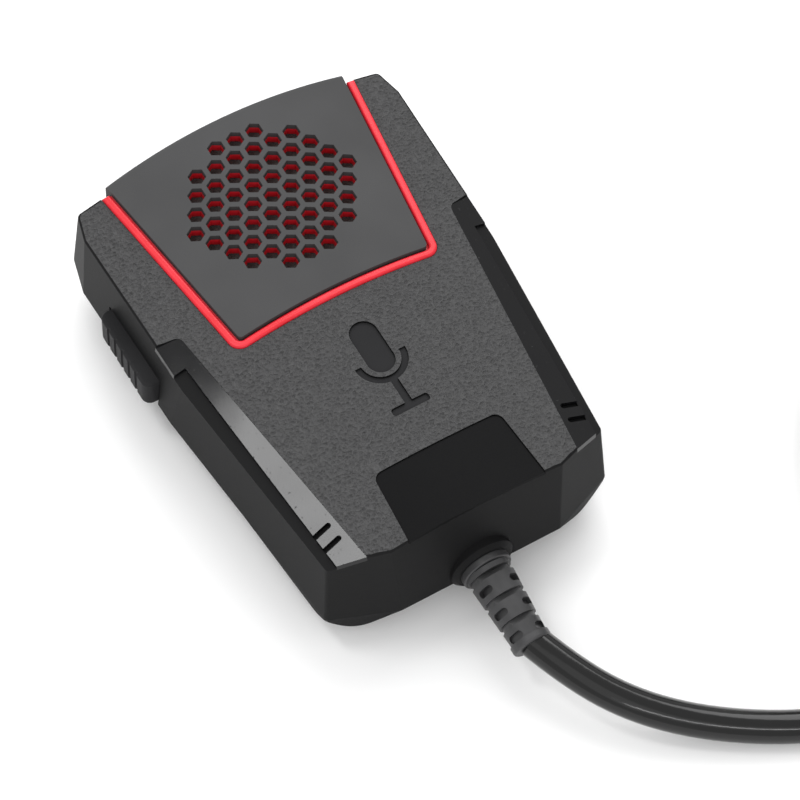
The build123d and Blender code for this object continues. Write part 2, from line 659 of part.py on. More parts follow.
with BuildPart() as hanger_screw:
    with Locations((0, HANGER_Y, 0.5)):
        Cylinder(2.6, 1.4, align=(Align.CENTER, Align.CENTER, Align.MIN))
        Cylinder(1.45, 8.6, align=(Align.CENTER, Align.CENTER, Align.MIN))
        Box(3.2, 0.7, 1.2, mode=Mode.SUBTRACT)
        Box(0.7, 3.2, 1.2, mode=Mode.SUBTRACT)
write(hanger_screw, "hanger_screw")

with BuildPart() as hanger_nut:
    with BuildSketch(Plane.XY.offset(HANGER_DEPTH + 2.02)):
        with Locations((0, HANGER_Y)):
            RegularPolygon(2.75, 6, major_radius=False)
            Circle(1.5, mode=Mode.SUBTRACT)
    extrude(amount=2.0)
write(hanger_nut, "hanger_nut")

# ------------------------------------------------------------------ lead inside
TAIL_START_Y, TAIL_END_Y = -42.6, -34.5
with BuildPart() as lead_tail:
    with BuildSketch(Plane.XZ.offset(-TAIL_END_Y)):
        with Locations((0, GLAND_Z)):
            Circle(LEAD_RADIUS)
    extrude(amount=TAIL_END_Y - TAIL_START_Y)
write(lead_tail, "lead_tail")

with BuildPart() as lead_wires:
    for step in (-1.5, -0.5, 0.5, 1.5):
        with BuildLine() as wire_path:
            Line((step * 1.25, TAIL_END_Y + 0.3, GLAND_Z + 0.2), (step * 2.4, -28.8, BOARD_TOP + 2.0))
        wire_start = Plane(origin=wire_path.line @ 0, z_dir=wire_path.line % 0)
        with BuildSketch(wire_start):
            Circle(0.55)
        sweep(path=wire_path.line)
write(lead_wires, "lead_wires")

with BuildPart() as lead_clamp:
    with Locations((0, CLAMP_POSTS[0][1], CLAMP_TOP - CLAMP_THICK / 2)):
        Box(21.0, 5.0, CLAMP_THICK)
    with Locations(*[(x, y, CLAMP_TOP) for x, y in CLAMP_POSTS]):
        Cylinder(1.05, 4, mode=Mode.SUBTRACT)
write(lead_clamp, "lead_clamp")

with BuildPart() as clamp_screws:
    with Locations(*[(x, y, CLAMP_TOP - CLAMP_THICK - 0.7) for x, y in CLAMP_POSTS]):
        Cylinder(1.8, 1.4)
        Cylinder(0.8, 8.0, align=(Align.CENTER, Align.CENTER, Align.MIN))
write(clamp_screws, "clamp_screws")

# ------------------------------------------------------------------ lead boot
COLLAR_RADIUS, COLLAR_END_Y = 4.9, -50.3
BOOT_ROOT, BOOT_TIP, BOOT_BEAD = 4.4, 3.5, 3.85
boot_plane = Plane(origin=(0, COLLAR_END_Y + 0.35, GLAND_Z), x_dir=(1, 0, 0),
                   z_dir=(0, -math.cos(math.radians(BOOT_TILT)), -math.sin(math.radians(BOOT_TILT))))
RIB_PITCH, RIB_START, RIB_GROOVE = 4.9, 1.0, 1.15
with BuildPart() as lead_boot:
    # flange inside the wall, neck through it, collar outside it
    with BuildSketch(Plane.XZ.offset(42.6)):
        with Locations((0, GLAND_Z)):
            Circle(5.4)
    extrude(amount=1.5)
    with BuildSketch(Plane.XZ.offset(44.0)):
        with Locations((0, GLAND_Z)):
            Circle(GLAND_NECK)
    extrude(amount=5.5)
    with BuildSketch(Plane.XZ.offset(-GLAND_FACE_Y + 0.02)):
        with Locations((0, GLAND_Z)):
            Circle(COLLAR_RADIUS)
    extrude(amount=GLAND_FACE_Y - COLLAR_END_Y)
    fillet(lead_boot.faces().sort_by(Axis.Y)[0].edges(), 0.25)
    # tapered sleeve with a bead at its end
    with BuildSketch(boot_plane):
        Circle(BOOT_ROOT)
    with BuildSketch(boot_plane.offset(BOOT_LENGTH - 1.5)):
        Circle(BOOT_TIP)
    loft()
    with BuildSketch(boot_plane.offset(BOOT_LENGTH - 1.5)):
        Circle(BOOT_BEAD)
    extrude(amount=1.5)
    fillet(lead_boot.edges().filter_by(GeomType.CIRCLE).sort_by(Axis.Y)[0], 0.5)
    # ring grooves that run deep above and below, and slots at the sides between them
    for ring in range(3):
        station = RIB_START + ring * RIB_PITCH
        with BuildSketch(boot_plane.offset(station)):
            Circle(6)
            Circle(BOOT_ROOT - 0.45 - station / 16, mode=Mode.SUBTRACT)
            with Locations((0, 5.0), (0, -5.0)):
                Rectangle(9, 5.0)
        extrude(amount=RIB_GROOVE, mode=Mode.SUBTRACT)
        middle = boot_plane.offset(station + RIB_PITCH / 2 + RIB_GROOVE / 2).origin
        for angle in (40, 140, 220, 320):
            outward = boot_plane.x_dir * math.cos(math.radians(angle))
            outward += boot_plane.y_dir * math.sin(math.radians(angle))
            around = boot_plane.z_dir.cross(outward)
            with BuildSketch(Plane(origin=middle + outward * 2.7, x_dir=around, z_dir=outward)):
                SlotOverall(3.3, 1.4)
            extrude(amount=5, mode=Mode.SUBTRACT)
write(lead_boot, "lead_boot")

# ------------------------------------------------------------------ lead outside
radii = corner_radii(LEAD_ROUTE)
print("lead radii", [round(r, 1) for r in radii])
with BuildPart() as lead:
    with BuildLine() as lead_path:
        FilletPolyline(*LEAD_ROUTE, radius=radii)
    with BuildSketch(Plane(origin=lead_path.line @ 0, z_dir=lead_path.line % 0)):
        Circle(LEAD_RADIUS)
    sweep(path=lead_path.line)
lead_length = sum(edge.length for edge in lead_path.edges())
print("lead length", round(lead_length, 1))
print("section times length", round(math.pi * LEAD_RADIUS**2 * lead_length))
print("volume", round(lead.part.volume))
write(lead, "lead")

bundle_middle = (COIL_OUTER + COIL_INNER) / 2
bundle_width = COIL_OUTER - COIL_INNER + LEAD_DIAMETER
with BuildPart() as lead_coil:
    with BuildSketch(Plane.XZ):
        with Locations((bundle_middle, COIL_HIGH / 2)):
            RectangleRounded(bundle_width, COIL_HIGH, LEAD_RADIUS - 0.1)
    revolve(axis=Axis.Z)
lead_coil.part.position = (COIL_CENTRE[0], COIL_CENTRE[1], 0)
write(lead_coil, "lead_coil")

end_heading = Vector(-math.sin(END_ANGLE), math.cos(END_ANGLE), 0)
end_start = Vector(COIL_CENTRE[0] + COIL_OUTER * math.cos(END_ANGLE),
                   COIL_CENTRE[1] + COIL_OUTER * math.sin(END_ANGLE), COIL_HIGH - LEAD_RADIUS)
plug_back = Vector(end_start.X, end_start.Y, PLUG_Z) + end_heading * END_RUN
with BuildPart() as lead_end:
    end_plane = Plane(origin=end_start, z_dir=plug_back - end_start)
    with BuildSketch(end_plane):
        Circle(LEAD_RADIUS)
    extrude(amount=(plug_back - end_start).length)
write(lead_end, "lead_end")

TIE_ANGLE = -45.0
with BuildPart() as coil_tie:
    tie_plane = Plane(origin=(COIL_CENTRE[0], COIL_CENTRE[1], 0),
                      x_dir=(math.cos(math.radians(TIE_ANGLE)), math.sin(math.radians(TIE_ANGLE)), 0),
                      z_dir=(math.sin(math.radians(TIE_ANGLE)), -math.cos(math.radians(TIE_ANGLE)), 0))
    with BuildSketch(tie_plane.offset(-4.5)):
        with Locations((bundle_middle, COIL_HIGH / 2 + 0.35)):
            RectangleRounded(bundle_width + 2.6, COIL_HIGH + 0.7, LEAD_RADIUS + 0.4)
    extrude(amount=9.0)
    add(lead_coil.part, mode=Mode.SUBTRACT)
write(coil_tie, "coil_tie")

# ------------------------------------------------------------------ plug
plug_plane = Plane(origin=plug_back, x_dir=(0, 0, 1), z_dir=end_heading)
SLEEVE_LONG, SHELL_LONG, RING_LONG = 13.0, 17.0, 14.0
RING_RADIUS, RING_BORE = 9.5, 7.9
with BuildPart() as plug_sleeve:
    with BuildSketch(plug_plane):
        Circle(4.3)
    with BuildSketch(plug_plane.offset(SLEEVE_LONG)):
        Circle(5.6)
    loft()
    for ring in range(4):
        with BuildSketch(plug_plane.offset(2.0 + ring * 2.6)):
            Circle(7)
            Circle(3.9 + ring * 0.25, mode=Mode.SUBTRACT)
        extrude(amount=1.1, mode=Mode.SUBTRACT)
write(plug_sleeve, "plug_sleeve")

with BuildPart() as plug_shell:
    with BuildSketch(plug_plane.offset(SLEEVE_LONG)):
        Circle(6.6)
    with BuildSketch(plug_plane.offset(SLEEVE_LONG + 3)):
        Circle(7.8)
    loft()
    with BuildSketch(plug_plane.offset(SLEEVE_LONG + 3)):
        Circle(7.8)
    extrude(amount=SHELL_LONG - 5)
    # the reduced nose that the coupling ring turns on, and its stop flange
    with BuildSketch(plug_plane.offset(SLEEVE_LONG + SHELL_LONG - 2)):
        Circle(6.9)
    extrude(amount=6.0)
    with BuildSketch(plug_plane.offset(SLEEVE_LONG + SHELL_LONG + 4)):
        Circle(7.7)
    extrude(amount=1.2)
    with BuildSketch(plug_plane.offset(SLEEVE_LONG + SHELL_LONG - 4)):
        Circle(5.6)
    extrude(amount=12, mode=Mode.SUBTRACT)
write(plug_shell, "plug_shell")

with BuildPart() as plug_ring:
    with BuildSketch(plug_plane.offset(SLEEVE_LONG + SHELL_LONG - 1.7)):
        Circle(RING_RADIUS)
    extrude(amount=RING_LONG)
    chamfer(plug_ring.edges().filter_by(GeomType.CIRCLE), 0.5)
    with BuildSketch(plug_plane.offset(SLEEVE_LONG + SHELL_LONG - 1.7)):
        Circle(6.95)
    extrude(amount=RING_LONG, mode=Mode.SUBTRACT)
    with BuildSketch(plug_plane.offset(SLEEVE_LONG + SHELL_LONG + 3.7)):
        Circle(RING_BORE)
    extrude(amount=RING_LONG, mode=Mode.SUBTRACT)
    with BuildSketch(plug_plane.offset(SLEEVE_LONG + SHELL_LONG + 0.6)):
        with PolarLocations(RING_RADIUS, 24):
            Circle(0.42)
    extrude(amount=9.0, mode=Mode.SUBTRACT)
write(plug_ring, "plug_ring")

with BuildPart() as plug_insert:
    with BuildSketch(plug_plane.offset(SLEEVE_LONG + SHELL_LONG - 3.9)):
        Circle(5.55)
    extrude(amount=12.0)
    with BuildSketch(plug_plane.offset(SLEEVE_LONG + SHELL_LONG + 6.1)):
        with PolarLocations(3.5, 6):
            Circle(0.82)
    extrude(amount=2.2, mode=Mode.SUBTRACT)
write(plug_insert, "plug_insert")

with BuildPart() as plug_contacts:
    with BuildSketch(plug_plane.offset(SLEEVE_LONG + SHELL_LONG + 6.12)):
        with PolarLocations(3.5, 6):
            Circle(0.75)
            Circle(0.4, mode=Mode.SUBTRACT)
    extrude(amount=1.9)
write(plug_contacts, "plug_contacts")
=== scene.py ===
# %% [markdown]
# # Hand-held push-to-talk microphone
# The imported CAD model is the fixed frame. This script gives every CAD node a
# procedural material, replaces the plain lead with a smooth one whose coil has its
# real turns, adds a clasp to the coil's tie, and sets the light and camera.
# Every length is in metres unless a name ends in `_mm`.

import math

import bmesh
import bpy
from mathutils import Matrix, Vector


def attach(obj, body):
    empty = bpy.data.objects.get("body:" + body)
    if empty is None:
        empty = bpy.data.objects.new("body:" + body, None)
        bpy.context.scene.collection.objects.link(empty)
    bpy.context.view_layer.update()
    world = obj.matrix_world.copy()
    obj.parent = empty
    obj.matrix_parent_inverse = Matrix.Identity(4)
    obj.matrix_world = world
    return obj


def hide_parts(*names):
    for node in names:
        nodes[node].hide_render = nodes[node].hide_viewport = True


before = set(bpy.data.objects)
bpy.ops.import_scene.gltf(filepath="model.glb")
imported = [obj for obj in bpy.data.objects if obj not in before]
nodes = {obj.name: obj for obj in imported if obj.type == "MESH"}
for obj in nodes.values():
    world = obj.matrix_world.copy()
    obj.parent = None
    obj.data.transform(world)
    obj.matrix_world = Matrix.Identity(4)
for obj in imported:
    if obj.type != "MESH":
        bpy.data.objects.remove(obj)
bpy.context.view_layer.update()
MM = 0.001
print("CAD nodes:", len(nodes))

# %% [markdown]
# ## Camera
# A long lens above the tail end, looking down at the crowned face. The picture's
# edges are parallel to nothing on the case, so the camera has its own upright axis.

# %%
CAMERA_PLACE = Vector((-0.18845, -0.30215, 0.64029))
VIEW_AXIS = Vector((0.26794, 0.40350, -0.87486)).normalized()
VIEW_UP = Vector((0.4325, 0.7610, 0.4835))
LENS = 176.3


def aim(thing, place, axis, up):
    """Puts a camera or light at a place, looking along an axis."""
    side = axis.cross(up).normalized()
    true_up = side.cross(axis)
    turn = Matrix((side, true_up, -axis)).transposed().to_4x4()
    thing.matrix_world = Matrix.Translation(place) @ turn


camera_data = bpy.data.cameras.new("camera")
camera_data.lens = LENS
camera_data.sensor_width = 36.0
camera_data.clip_start = 0.01
camera = bpy.data.objects.new("camera", camera_data)
bpy.context.scene.collection.objects.link(camera)
aim(camera, CAMERA_PLACE, VIEW_AXIS, VIEW_UP)
bpy.context.scene.camera = camera
print("camera stands", round(CAMERA_PLACE.length, 3), "m from the origin")

# %% [markdown]
# ## Light and floor
# A pale floor under an even sky, a broad lamp that throws the soft shadow to the
# left, a panel that the polished side trim mirrors, and a narrow strip that draws
# a streak along the shiny parts.

# %%
TARGET = Vector((0.0, 0.0, 0.02))
SKY_STRENGTH = 0.9


def area_lamp(name, direction, distance, width, height, strength):
    """A rectangular lamp that faces the microphone from a direction."""
    data = bpy.data.lights.new(name, "AREA")
    data.shape = "RECTANGLE"
    data.size = width
    data.size_y = height
    data.energy = strength
    lamp = bpy.data.objects.new(name, data)
    bpy.context.scene.collection.objects.link(lamp)
    toward = Vector(direction).normalized()
    aim(lamp, TARGET + toward * distance, -toward, Vector((0, 1, 0.01)))
    return lamp


sky = bpy.data.worlds.new("sky")
sky.use_nodes = True
sky.node_tree.nodes["Background"].inputs["Color"].default_value = (1.0, 1.0, 1.0, 1.0)
sky.node_tree.nodes["Background"].inputs["Strength"].default_value = SKY_STRENGTH
bpy.context.scene.world = sky
bpy.context.scene.view_settings.view_transform = "Standard"

area_lamp("key", (0.55, 0.75, 1.0), 1.4, 1.1, 1.1, 12.5)
area_lamp("panel", (-0.30, 0.28, 0.87), 1.0, 0.16, 0.2, 1.7)
area_lamp("fill", (-0.6, -0.8, 1.2), 1.8, 1.4, 1.4, 3.2)
area_lamp("strip", (-0.15, -0.75, 0.7), 1.1, 0.7, 0.04, 1.3)

floor_mesh = bpy.data.meshes.new("floor")
FLOOR_HALF = 3.0
floor_mesh.from_pydata(
    [(-FLOOR_HALF, -FLOOR_HALF, 0), (FLOOR_HALF, -FLOOR_HALF, 0),
     (FLOOR_HALF, FLOOR_HALF, 0), (-FLOOR_HALF, FLOOR_HALF, 0)], [], [(0, 1, 2, 3)])
floor = bpy.data.objects.new("floor", floor_mesh)
bpy.context.scene.collection.objects.link(floor)
print("lights:", len(bpy.data.lights))

# %% [markdown]
# ## Materials
# All materials are procedural and use object coordinates, so a grain has its real
# size. `Recipe` keeps the node wiring short.

# %%


class Recipe:
    """Builds one material from a principled shader and a few texture helpers."""

    def __init__(self, name, colour, roughness, metallic=0.0, specular=0.5, coat=0.0):
        self.material = bpy.data.materials.new(name)
        self.material.use_nodes = True
        self.tree = self.material.node_tree
        self.shader = self.tree.nodes["Principled BSDF"]
        self.set("Base Color", (*colour, 1.0))
        self.set("Roughness", roughness)
        self.set("Metallic", metallic)
        self.set("Specular IOR Level", specular)
        self.set("Coat Weight", coat)
        self.place = self.tree.nodes.new("ShaderNodeTexCoord")

    def set(self, socket, value):
        """Sets one of the shader's own sockets."""
        self.shader.inputs[socket].default_value = value

    def link(self, source, target):
        """Joins two sockets."""
        self.tree.links.new(source, target)

    def stretched(self, scale):
        """Object coordinates stretched by a factor along each axis."""
        mapping = self.tree.nodes.new("ShaderNodeMapping")
        mapping.inputs["Scale"].default_value = scale
        self.link(self.place.outputs["Object"], mapping.inputs["Vector"])
        return mapping.outputs["Vector"]

    def noise(self, grain_mm, detail=3.0, roughness=0.55, vector=None):
        """Noise whose lumps are about grain_mm across."""
        node = self.tree.nodes.new("ShaderNodeTexNoise")
        node.inputs["Scale"].default_value = 1.0 / (grain_mm * MM)
        node.inputs["Detail"].default_value = detail
        node.inputs["Roughness"].default_value = roughness
        self.link(vector or self.place.outputs["Object"], node.inputs["Vector"])
        return node.outputs["Fac"]

    def cells(self, grain_mm, vector=None):
        """Rounded cells about grain_mm across, as in a leather grain."""
        node = self.tree.nodes.new("ShaderNodeTexVoronoi")
        node.feature = "SMOOTH_F1"
        node.inputs["Scale"].default_value = 1.0 / (grain_mm * MM)
        node.inputs["Smoothness"].default_value = 0.4
        self.link(vector or self.place.outputs["Object"], node.inputs["Vector"])
        return node.outputs["Distance"]

    def range(self, value, low, high, out_low=0.0, out_high=1.0):
        """Maps a range of values onto another, held at both ends."""
        node = self.tree.nodes.new("ShaderNodeMapRange")
        node.inputs["From Min"].default_value = low
        node.inputs["From Max"].default_value = high
        node.inputs["To Min"].default_value = out_low
        node.inputs["To Max"].default_value = out_high
        self.link(value, node.inputs["Value"])
        return node.outputs["Result"]

    def maths(self, operation, first, second):
        """One arithmetic step between sockets or numbers."""
        node = self.tree.nodes.new("ShaderNodeMath")
        node.operation = operation
        for socket, value in zip(node.inputs, (first, second)):
            if isinstance(value, (int, float)):
                socket.default_value = value
            else:
                self.link(value, socket)
        return node.outputs["Value"]

    def mix(self, factor, first, second):
        """Mixes two colours by a factor socket."""
        node = self.tree.nodes.new("ShaderNodeMix")
        node.data_type = "RGBA"
        self.link(factor, node.inputs["Factor"])
        node.inputs["A"].default_value = (*first, 1.0)
        node.inputs["B"].default_value = (*second, 1.0)
        return node.outputs["Result"]

    def colour(self, socket):
        """Drives the base colour."""
        self.link(socket, self.shader.inputs["Base Color"])

    def rough(self, socket):
        """Drives the roughness."""
        self.link(socket, self.shader.inputs["Roughness"])

    def bump(self, height, depth_mm, strength=1.0):
        """A bump of a real depth; a second bump adds to the first."""
        node = self.tree.nodes.new("ShaderNodeBump")
        node.inputs["Distance"].default_value = depth_mm * MM
        node.inputs["Strength"].default_value = strength
        self.link(height, node.inputs["Height"])
        earlier = self.shader.inputs["Normal"].links
        if earlier:
            self.link(earlier[0].from_socket, node.inputs["Normal"])
        self.link(node.outputs["Normal"], self.shader.inputs["Normal"])


def fine_matt(name, colour, roughness, lift, grain_mm=0.35, specular=0.03):
    """Spark-eroded moulded plastic: an even matt surface with a very fine grain."""
    recipe = Recipe(name, colour, roughness, specular=specular)
    grain = recipe.noise(grain_mm, 2.0)
    cloud = recipe.noise(18.0, 2.0)
    lighter = tuple(min(1.0, part * lift) for part in colour)
    recipe.colour(recipe.mix(recipe.range(cloud, 0.35, 0.65), colour, lighter))
    recipe.rough(recipe.range(grain, 0.3, 0.7, roughness - 0.06, roughness + 0.06))
    recipe.bump(grain, 0.02)
    return recipe.material


def shell_material():
    """The front shell: a leather grain on the crowned face, fine matt elsewhere. The walls are painted
    much darker than the face as painted shade, and the grain is painted darker in its hollows and
    lighter on its ridges as painted shade and highlight.
    """
    recipe = Recipe("shell_textured", (0.1, 0.1, 0.1), 0.6, specular=0.06)
    parts = recipe.tree.nodes.new("ShaderNodeSeparateXYZ")
    recipe.link(recipe.place.outputs["Normal"], parts.inputs["Vector"])
    facing_up = recipe.range(parts.outputs["Z"], 0.956, 0.964)
    spot = recipe.tree.nodes.new("ShaderNodeSeparateXYZ")
    recipe.link(recipe.place.outputs["Object"], spot.inputs["Vector"])
    high_up = recipe.range(spot.outputs["Z"], 22 * MM, 23 * MM)
    face = recipe.maths("MULTIPLY", facing_up, high_up)
    wrinkles = recipe.cells(0.75, recipe.stretched((1.0, 1.25, 1.0)))
    pores = recipe.noise(0.6, 2.0)
    height = recipe.maths("ADD", recipe.maths("MULTIPLY", wrinkles, 0.6), pores)
    grain = recipe.noise(0.35, 2.0)
    # painted shade and highlight: the grain's colour follows its bump height, darker in the hollows and
    # lighter on the ridges
    shade = recipe.range(height, 0.55, 1.15)
    shaded_grain = recipe.mix(shade, FACE_HOLLOW_SHADE, FACE_RIDGE_LIGHT)
    blend = recipe.tree.nodes.new("ShaderNodeMix")
    blend.data_type = "RGBA"
    recipe.link(face, blend.inputs["Factor"])
    # painted shade: everything off the crowned face gets a much darker colour than the face, standing
    # for the shade on walls that face away from the light
    blend.inputs["A"].default_value = (*SHADED_WALL_COLOUR, 1.0)
    recipe.link(shaded_grain, blend.inputs["B"])
    recipe.colour(blend.outputs["Result"])
    recipe.rough(recipe.range(face, 0.0, 1.0, 0.5, 0.62))
    recipe.bump(recipe.maths("MULTIPLY", height, face), 0.8)
    recipe.bump(grain, 0.02)
    return recipe.material


def polished_black():
    """Polished black plastic with the faintest mould waviness and a few dust specks."""
    recipe = Recipe("trim_polished", (0.006, 0.006, 0.0065), 0.07, specular=0.2)
    wave = recipe.noise(9.0, 1.0)
    specks = recipe.range(recipe.noise(0.5, 0.0), 0.78, 0.82)
    streaks = recipe.range(wave, 0.3, 0.7, 0.05, 0.09)
    recipe.rough(recipe.maths("ADD", streaks, recipe.maths("MULTIPLY", specks, 0.2)))
    recipe.bump(wave, 0.01)
    return recipe.material


def satin_rubber(name, colour, roughness, bloom=1.5):
    """Moulded rubber: satin, a little uneven, with a pale bloom here and there."""
    recipe = Recipe(name, colour, roughness, specular=0.45)
    cloud = recipe.noise(6.0, 3.0)
    fine = recipe.noise(0.25, 2.0)
    paler = tuple(part * bloom for part in colour)
    recipe.colour(recipe.mix(recipe.range(cloud, 0.35, 0.7), colour, paler))
    recipe.rough(recipe.range(cloud, 0.3, 0.7, roughness - 0.07, roughness + 0.08))
    recipe.bump(fine, 0.012)
    return recipe.material


def glossy_lead():
    """The lead's jacket: glossy black with a faint lengthways unevenness."""
    recipe = Recipe("lead_jacket", (0.003, 0.003, 0.003), 0.12, specular=0.38)
    cloud = recipe.noise(12.0, 2.0)
    recipe.rough(recipe.range(cloud, 0.3, 0.7, 0.09, 0.16))
    recipe.bump(recipe.noise(3.0, 2.0), 0.03)
    return recipe.material


def metal(name, colour, roughness, turned_mm=0.25):
    """Machined metal with fine tool marks and slightly uneven brightness."""
    recipe = Recipe(name, colour, roughness, metallic=1.0)
    marks = recipe.noise(turned_mm, 2.0, vector=recipe.stretched((1.0, 0.12, 1.0)))
    cloud = recipe.noise(5.0, 2.0)
    duller = tuple(part * 0.8 for part in colour)
    recipe.colour(recipe.mix(recipe.range(cloud, 0.35, 0.65), duller, colour))
    recipe.rough(recipe.range(marks, 0.3, 0.7, roughness - 0.05, roughness + 0.1))
    recipe.bump(marks, 0.006)
    return recipe.material


def woven_felt():
    """The grey cloth behind the grille."""
    recipe = Recipe("grille_felt", (0.06, 0.06, 0.058), 0.95, specular=0.1)
    fibres = recipe.noise(0.3, 4.0, vector=recipe.stretched((1.0, 3.0, 1.0)))
    shade = recipe.range(fibres, 0.35, 0.65)
    recipe.colour(recipe.mix(shade, (0.035, 0.035, 0.034), (0.1, 0.1, 0.095)))
    recipe.bump(fibres, 0.12)
    return recipe.material


def satin_red():
    """The red accent: solid-coloured satin plastic."""
    recipe = Recipe("accent_red", (0.62, 0.015, 0.03), 0.36, specular=0.3)
    cloud = recipe.noise(7.0, 2.0)
    recipe.colour(recipe.mix(recipe.range(cloud, 0.35, 0.65), (0.6, 0.012, 0.022), (0.68, 0.02, 0.035)))
    recipe.rough(recipe.range(recipe.noise(0.3), 0.3, 0.7, 0.3, 0.42))
    return recipe.material


def board_material():
    """A green solder mask with pale lines where the copper runs beneath it."""
    recipe = Recipe("board_mask", (0.01, 0.12, 0.04), 0.3, specular=0.5, coat=0.3)
    tracks = recipe.tree.nodes.new("ShaderNodeTexWave")
    tracks.inputs["Scale"].default_value = 180.0
    tracks.inputs["Distortion"].default_value = 6.0
    recipe.link(recipe.place.outputs["Object"], tracks.inputs["Vector"])
    copper = recipe.range(tracks.outputs["Fac"], 0.7, 0.75)
    recipe.colour(recipe.mix(copper, (0.008, 0.09, 0.03), (0.02, 0.19, 0.07)))
    return recipe.material


# painted shade and highlight of the face's grain: the darker colour goes in the hollows, the lighter
# one on the ridges
FACE_HOLLOW_SHADE = (0.06, 0.06, 0.061)
FACE_RIDGE_LIGHT = (0.082, 0.082, 0.083)
# painted shade: the walls' colour is set far darker than the face's to stand for the shade on sides
# facing away from the light; the rear shell uses it too
SHADED_WALL_COLOUR = (0.0095, 0.0095, 0.0098)

SHELL = shell_material()
# the rear shell takes the darker wall colour, painted shade included
BLACK_MATT = fine_matt("rear_matt", SHADED_WALL_COLOUR, 0.5, 1.25)
COVER = fine_matt("cover_matt", (0.06, 0.06, 0.061), 0.55, 1.12, 0.25)
LABEL = fine_matt("label_satin", (0.0065, 0.0065, 0.0068), 0.42, 1.1, 0.25)
BADGE = fine_matt("badge_matt", (0.02, 0.02, 0.021), 0.5, 1.2, 0.3)
BUTTON = fine_matt("button_matt", (0.022, 0.022, 0.023), 0.45, 1.3, 0.3)
TRIM = polished_black()
RED = satin_red()
FELT = woven_felt()
BOOT = satin_rubber("boot_rubber", (0.027, 0.027, 0.028), 0.42)
SLEEVE = satin_rubber("sleeve_rubber", (0.02, 0.02, 0.021), 0.5)
JACKET = glossy_lead()
STEEL = metal("stud_steel", (0.6, 0.6, 0.61), 0.28)
SCREW = metal("screw_zinc", (0.3, 0.3, 0.31), 0.35)
NICKEL = metal("ring_nickel", (0.74, 0.73, 0.71), 0.2, 0.4)
GOLD = metal("contact_gold", (0.85, 0.62, 0.25), 0.25)
CAPSULE = metal("capsule_aluminium", (0.75, 0.75, 0.76), 0.35)
BOARD = board_material()
PLUG = fine_matt("plug_matt", (0.03, 0.03, 0.031), 0.48, 1.3, 0.3)
INSERT = fine_matt("insert_satin", (0.02, 0.02, 0.02), 0.35, 1.2, 0.4)
CHIP = fine_matt("chip_matt", (0.02, 0.02, 0.02), 0.55, 1.4, 0.2)
NYLON = fine_matt("header_nylon", (0.72, 0.7, 0.62), 0.4, 1.05, 0.4)
WIRE = satin_rubber("wire_red", (0.45, 0.03, 0.02), 0.4, 1.2)
TIE = satin_rubber("tie_strap", (0.03, 0.03, 0.03), 0.55)

NODE_MATERIALS = {
    "front_shell": SHELL, "rear_shell": BLACK_MATT, "grille_cover": COVER, "accent_plate": RED,
    "dust_felt": FELT, "left_side_trim": TRIM, "right_side_trim": TRIM, "label_panel": LABEL,
    "badge_inlay": BADGE, "ptt_button": BUTTON, "switch_plunger": NYLON, "switch_body": CHIP,
    "circuit_board": BOARD, "board_parts": CHIP, "capsule_holder": SLEEVE, "mic_capsule": CAPSULE,
    "lead_header": NYLON, "board_screws": SCREW, "case_screws": SCREW, "hanger_stud": STEEL,
    "hanger_screw": SCREW, "hanger_nut": STEEL, "lead_tail": JACKET, "lead_wires": WIRE,
    "lead_clamp": STEEL, "clamp_screws": SCREW, "lead_boot": BOOT, "coil_tie": TIE,
    "plug_sleeve": SLEEVE, "plug_shell": PLUG, "plug_ring": NICKEL, "plug_insert": INSERT,
    "plug_contacts": GOLD, "lead": JACKET, "lead_coil": JACKET, "lead_end": JACKET,
}


def dress(thing, material):
    """Gives an object one material."""
    thing.data.materials.clear()
    thing.data.materials.append(material)


for node_name, node_material in NODE_MATERIALS.items():
    dress(nodes[node_name], node_material)
print("materials:", len(bpy.data.materials))

floor_recipe = Recipe("floor_paper", (0.93, 0.93, 0.93), 0.9, specular=0.1)
floor_recipe.bump(floor_recipe.noise(2.0), 0.02)
dress(floor, floor_recipe.material)

# %% [markdown]
# ## Tie clasp
# The strap around the coil closes with a small moulded clasp on top.

# %%
CLASP_CENTRE_MM = (121.72, -93.52, 26.3)
CLASP_SIZE_MM = (7.0, 10.4, 1.8)
CLASP_TURN = math.radians(-45)
CLASP_EDGE_MM = 0.5


def rounded_block(name, centre_mm, size_mm, turn, edge_mm):
    """A block with rounded edges, turned about the upright axis."""
    shape = bmesh.new()
    bmesh.ops.create_cube(shape, size=1.0)
    bmesh.ops.scale(shape, vec=[part * MM for part in size_mm], verts=shape.verts)
    bmesh.ops.bevel(shape, geom=list(shape.edges), offset=edge_mm * MM, offset_type="OFFSET",
                    segments=3, profile=0.5, affect="EDGES", clamp_overlap=True, material=-1)
    bmesh.ops.rotate(shape, cent=(0, 0, 0), matrix=Matrix.Rotation(turn, 3, "Z"), verts=shape.verts)
    bmesh.ops.translate(shape, vec=[part * MM for part in centre_mm], verts=shape.verts)
    data = bpy.data.meshes.new(name)
    shape.to_mesh(data)
    shape.free()
    block = bpy.data.objects.new(name, data)
    bpy.context.scene.collection.objects.link(block)
    return block


clasp = rounded_block("tie_clasp", CLASP_CENTRE_MM, CLASP_SIZE_MM, CLASP_TURN, CLASP_EDGE_MM)
dress(clasp, TIE)
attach(clasp, "case")
print("clasp faces:", len(clasp.data.polygons))

# %% [markdown]
# ## The lead
# One open spline: out of the boot, down to the table, along it, round the coil and
# to the plug. The free stretch repeats the CAD route; the coil's turns are a loop.

